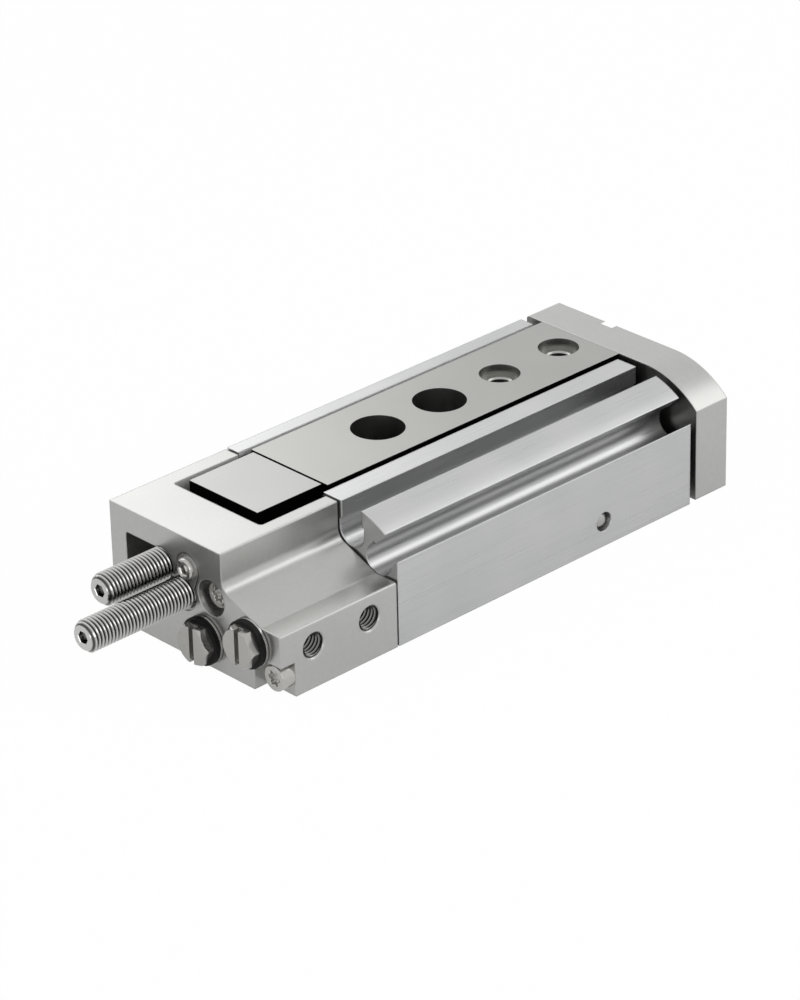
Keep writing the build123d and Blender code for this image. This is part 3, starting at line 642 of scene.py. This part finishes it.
# Zinc plated steel, passivated: slightly milky, with soft highlights on rims
screw_finish = metal("zinc plated steel", "#B2B1AE", "#B8B7B4", rough=(0.16, 0.2), marks_mm=(0.5, 0.5, 0.5),
                     bump_mm=0.0002, oxide=0.08, edge_mm=PLATED_EDGE_MM)
# Nickel plated steel: bright facets that turn light or dark as a whole
plug_finish = metal("nickel plated steel", "#A9A8A5", "#AFAEAB", rough=(0.18, 0.22), marks_mm=(0.5, 0.5, 0.5),
                    bump_mm=0.0002, oxide=0.1, edge_mm=PLATED_EDGE_MM)
# Bearing steel, finely ground along its length: an even, hard grey
rail_finish = metal("hardened ground steel", "#9C9C9A", "#A4A4A2", rough=(0.2, 0.26), marks_mm=(8, 0.1, 0.1),
                    bump_mm=0.0005)
# Polished bearing steel: the balls mirror what is round them
ball_finish = metal("polished bearing steel", "#A8A8A6", "#AEAEAC", rough=(0.06, 0.1), marks_mm=(1, 1, 1),
                    bump_mm=0.0001)
# Hard chromed rod: almost a mirror
rod_finish = metal("chromed steel rod", "#C4C4C6", "#CACACC", rough=(0.08, 0.12), marks_mm=(6, 0.2, 0.2),
                   bump_mm=0.0002)
# Sintered bronze: warm, dull and slightly porous
bronze_finish = metal("sintered bronze", "#96794A", "#A88A57", rough=(0.35, 0.45), marks_mm=(0.2, 0.2, 0.2),
                      bump_mm=0.003)


def moulded(name, dark, light, rough, grain_mm):
    """A moulded black material, matt, with a faint skin texture."""
    material, tree, shader, place = surface(name)
    speckle = grain(tree, place, (grain_mm,) * 3, 3.0)
    ramp = add(tree, "ShaderNodeValToRGB", {"Fac": speckle})
    for stop, hexcode in zip(ramp.color_ramp.elements, (dark, light)):
        stop.color = colour(hexcode)
    tree.links.new(ramp.outputs["Color"], shader.inputs["Base Color"])
    tree.links.new(ranged(tree, speckle, NOISE_RANGE, rough), shader.inputs["Roughness"])
    bump = add(tree, "ShaderNodeBump", {"Height": speckle, "Strength": 1.0, "Distance": MOULDED_BUMP_MM * MM})
    tree.links.new(bump.outputs["Normal"], shader.inputs["Normal"])
    shader.inputs["Specular IOR Level"].default_value = MOULDED_SPECULAR
    return material


# Nitrile rubber, moulded: deep black with hardly any sheen
seal_finish = moulded("moulded nitrile rubber", "#070707", "#0C0C0C", rough=(0.5, 0.62), grain_mm=0.25)
# Polyurethane pad: black, a little smoother than the seals
buffer_finish = moulded("moulded polyurethane", "#1C1C1C", "#262626", rough=(0.45, 0.55), grain_mm=0.3)
# Acetal cage: black plastic with a slight gloss
cage_finish = moulded("moulded acetal", "#17181A", "#202124", rough=(0.4, 0.5), grain_mm=0.3)
# Bonded ferrite ring: dull brownish black
magnet_finish = moulded("plastic bonded ferrite", "#1E1D1C", "#292826", rough=(0.55, 0.65), grain_mm=0.2)

# By material slot, and then by node for those that differ from their slot
FINISHES = {
    "housing_aluminium": housing_finish,
    "cap_aluminium": cap_finish,
    "yoke_aluminium": yoke_finish,
    "table_steel": table_finish,
    "carrier_steel": carrier_finish,
    "rail_steel": rail_finish,
    "screw_steel": screw_finish,
    "stop_steel": stop_finish,
    "plug_nickel": plug_finish,
    "rod_steel": rod_finish,
    "seal_rubber": seal_finish,
    "buffer_plastic": buffer_finish,
    "cage_plastic": cage_finish,
    "magnet_black": magnet_finish,
    "bearing_bronze": bronze_finish,
    "clamp_wedge": clamp_finish,
    "channel_balls": ball_finish,
    "guide_balls_near": ball_finish,
    "guide_balls_far": ball_finish,
}


def finish_nodes():
    """Gives every CAD node its own finish, or else that of its material slot."""
    for part in frame["record"]["subparts"]:
        node = frame["nodes"][part["node"]]
        node.data.materials.clear()
        node.data.materials.append(FINISHES.get(part["node"]) or FINISHES[part["material_slot"]])


finish_nodes()
stop_screw("return_stop_screw", "return_stop", stop_finish)
stop_screw("advance_stop_screw", "advance_stop", stop_finish)
cap_screw("cap_screw_upper", screw_finish)
cap_screw("cap_screw_lower", screw_finish)
clamp_screw(screw_finish)
port_plug("port_plug_upper", plug_finish)
port_plug("port_plug_lower", plug_finish)
for port_name, port_x in zip(("port_thread_rear", "port_thread_front"), PORT_X_MM):
    port_thread(port_name, port_x, port_finish)


def camera():
    """Camera at the photograph's viewing angle."""
    azimuth, elevation, roll = (radians(a) for a in (VIEW_AZIMUTH, VIEW_ELEVATION, VIEW_ROLL))
    back = Vector((sin(azimuth) * cos(elevation), -cos(azimuth) * cos(elevation), sin(elevation)))
    level = Vector((cos(azimuth), sin(azimuth), 0))
    over = back.cross(level)
    right = cos(roll) * level + sin(roll) * over
    up = cos(roll) * over - sin(roll) * level
    data = bpy.data.cameras.new("camera")
    data.lens = VIEW_LENS_MM
    data.sensor_width = VIEW_SENSOR_MM
    data.clip_start, data.clip_end = VIEW_CLIP_M
    eye = bpy.data.objects.new("camera", data)
    bpy.context.scene.collection.objects.link(eye)
    place = Vector(VIEW_POINT_MM) - right * VIEW_RIGHT_MM - up * VIEW_UP_MM + back * VIEW_DISTANCE_MM
    turn = Matrix((right, up, back)).transposed().to_4x4()
    eye.matrix_world = Matrix.Translation(place * MM) @ turn
    bpy.context.scene.camera = eye


def floor():
    """Pale floor that keeps a soft shadow."""
    bm = bmesh.new()
    bmesh.ops.create_grid(bm, x_segments=1, y_segments=1, size=FLOOR_HALF_M)
    mesh = bpy.data.meshes.new("floor")
    bm.to_mesh(mesh)
    bm.free()
    plane = bpy.data.objects.new("floor", mesh)
    bpy.context.scene.collection.objects.link(plane)
    material = bpy.data.materials.new("matt white board")
    material.use_nodes = True
    tree = material.node_tree
    tree.nodes.clear()
    board = add(tree, "ShaderNodeBsdfDiffuse", {"Color": colour("#F2F2F2")})
    glow = add(tree, "ShaderNodeEmission", {"Color": (1, 1, 1, 1), "Strength": 1.0})
    ray = add(tree, "ShaderNodeLightPath").outputs
    seen = maths(tree, "MULTIPLY", ray["Is Camera Ray"], FLOOR_WHITE)
    mirrored = maths(tree, "MAXIMUM", ray["Is Glossy Ray"], ray["Is Transmission Ray"])
    share = maths(tree, "MAXIMUM", seen, maths(tree, "MULTIPLY", mirrored, FLOOR_WHITE_MIRRORED))
    mix = add(tree, "ShaderNodeMixShader", {0: share, 1: board.outputs[0], 2: glow.outputs[0]})
    add(tree, "ShaderNodeOutputMaterial", {"Surface": mix.outputs[0]})
    mesh.materials.append(material)


def softbox(name, place_mm, size_mm, brightness, aim_mm, hidden_from):
    """Rectangular panel that adds its brightness to the surround's and is hidden from one kind of ray."""
    data = bpy.data.lights.new(name, "AREA")
    data.shape = "RECTANGLE"
    data.size, data.size_y = (side * MM for side in size_mm)
    data.energy = LAMP_POWER * brightness * data.size * data.size_y
    lamp = bpy.data.objects.new(name, data)
    bpy.context.scene.collection.objects.link(lamp)
    place = Vector(place_mm) * MM
    towards = Vector(aim_mm) * MM - place
    lamp.matrix_world = Matrix.Translation(place) @ towards.to_track_quat("-Z", "Y").to_matrix().to_4x4()
    setattr(lamp, hidden_from, False)


def world():
    """Even pale studio surround, white for the camera and in the metal."""
    surround = bpy.data.worlds.new("studio")
    bpy.context.scene.world = surround
    surround.use_nodes = True
    tree = surround.node_tree
    tree.nodes.clear()
    direction = add(tree, "ShaderNodeTexCoord").outputs["Generated"]
    ramp = add(tree, "ShaderNodeValToRGB", {"Fac": axes(tree, direction)["Z"]})
    low, high = ramp.color_ramp.elements
    low.position = 0.0
    low.color = (HORIZON_LIGHT, HORIZON_LIGHT, HORIZON_LIGHT, 1)
    high.position = OVERHEAD_FROM
    high.color = (OVERHEAD_LIGHT, OVERHEAD_LIGHT, OVERHEAD_LIGHT, 1)
    ray = add(tree, "ShaderNodeLightPath").outputs
    mirrored = maths(tree, "MAXIMUM", ray["Is Glossy Ray"], ray["Is Transmission Ray"])
    seen = maths(tree, "MAXIMUM", ray["Is Camera Ray"], mirrored)
    soft = add(tree, "ShaderNodeBackground", {"Color": ramp.outputs["Color"], "Strength": 1.0})
    white = add(tree, "ShaderNodeBackground", {"Color": (1, 1, 1, 1), "Strength": 1.0})
    mix = add(tree, "ShaderNodeMixShader", {0: seen, 1: soft.outputs[0], 2: white.outputs[0]})
    add(tree, "ShaderNodeOutputWorld", {"Surface": mix.outputs[0]})


camera()
floor()
world()
for number, key_edge in enumerate(KEY_EDGES_MM):
    middle = (key_edge + KEY_START_MM) / 2
    place = (middle, KEY_BEHIND_MM + number, KEY_HEIGHT_MM)
    size = (key_edge - KEY_START_MM, KEY_TALL_MM)
    softbox("key", place, size, KEY_BRIGHTNESS, (middle, 0, KEY_AIM_HEIGHT_MM), "visible_diffuse")
for panel in PANELS:
    softbox(*panel)
bpy.context.scene.view_settings.view_transform = "Standard"
